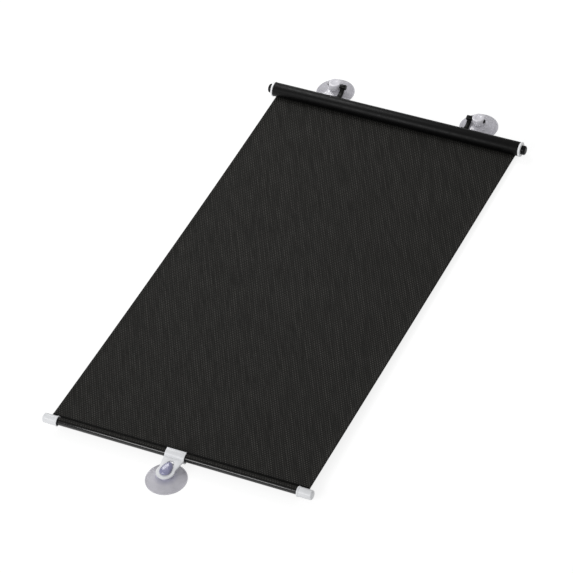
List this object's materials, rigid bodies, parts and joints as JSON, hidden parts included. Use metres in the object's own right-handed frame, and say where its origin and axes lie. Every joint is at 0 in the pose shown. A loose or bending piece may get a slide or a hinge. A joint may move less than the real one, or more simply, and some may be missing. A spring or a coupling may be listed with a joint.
{
  "type": "car side window sunshade",
  "caption": "Roller sunshade with black mesh cloth drawn out of a slim tube housing, a bottom bar with white end caps, and suction cups for the window.",
  "frame": {"origin": "centre of the footprint, in the plane of the three suction cups' rims", "axes": "+X along the roller, +Y from the bottom bar to the roller, +Z from the glass towards the cabin"},
  "size_m": [0.3864, 0.8044, 0.0224],
  "materials": {
    "housing_black": "satin black",
    "gloss_black": "gloss black",
    "white_plastic": "white moulded",
    "mesh_cloth": "black perforated mesh",
    "clear_vinyl": "clear soft vinyl",
    "steel": "plain",
    "tube_aluminium": "plain",
    "grey_plastic": "moulded grey"
  },
  "bodies": {
    "cassette": {"cassette_housing": "housing_black", "end_flange_right": "white_plastic", "end_flange_left": "white_plastic", "end_knob_right": "gloss_black", "end_knob_left": "gloss_black", "hook_right": "gloss_black", "hook_left": "gloss_black", "spring_mandrel": "steel", "torsion_spring": "steel", "fabric_sheet": "mesh_cloth"},
    "roller": {"roller_tube": "tube_aluminium", "wound_fabric": "mesh_cloth", "tube_plug_right": "grey_plastic", "tube_plug_left": "grey_plastic", "spring_plug": "grey_plastic"},
    "bar": {"bottom_bar": "gloss_black", "fabric_hem": "mesh_cloth", "hem_welt_rod": "housing_black", "bar_cap_right": "white_plastic", "bar_cap_left": "white_plastic"},
    "clip": {"bar_clip": "white_plastic"},
    "cup_bottom": {"suction_cup_bottom": "clear_vinyl"},
    "cup_left": {"suction_cup_left": "clear_vinyl"},
    "cup_right": {"suction_cup_right": "clear_vinyl"}
  },
  "joints": [
    {"name": "shade_pull", "type": "slide", "parent": "cassette", "child": "bar", "axis": [0, 1, 0], "range_m": [0, 0.66], "deforming": ["fabric_sheet"]},
    {"name": "roller_turn", "type": "hinge", "parent": "cassette", "child": "roller", "pos_m": [0, 0.33975, 0.012], "axis": [1, 0, 0], "range_deg": [0, 5210]},
    {"name": "clip_swing", "type": "hinge", "parent": "bar", "child": "clip", "pos_m": [0, -0.34425, 0.012], "axis": [1, 0, 0], "range_deg": [-25, 25]},
    {"name": "bottom_cup_turn", "type": "hinge", "parent": "clip", "child": "cup_bottom", "pos_m": [0, -0.37525, 0], "axis": [0, 0, 1], "continuous": true},
    {"name": "left_cup_swing", "type": "hinge", "parent": "cassette", "child": "cup_left", "pos_m": [-0.1084, 0.37525, 0.013], "axis": [1, 0, 0], "range_deg": [0, 80]},
    {"name": "right_cup_swing", "type": "hinge", "parent": "cassette", "child": "cup_right", "pos_m": [0.1084, 0.37525, 0.013], "axis": [1, 0, 0], "range_deg": [0, 80]}
  ],
  "couplings": [
    {"joint": "roller_turn", "follows": "shade_pull", "rad_per_m": 137.5}
  ]
}
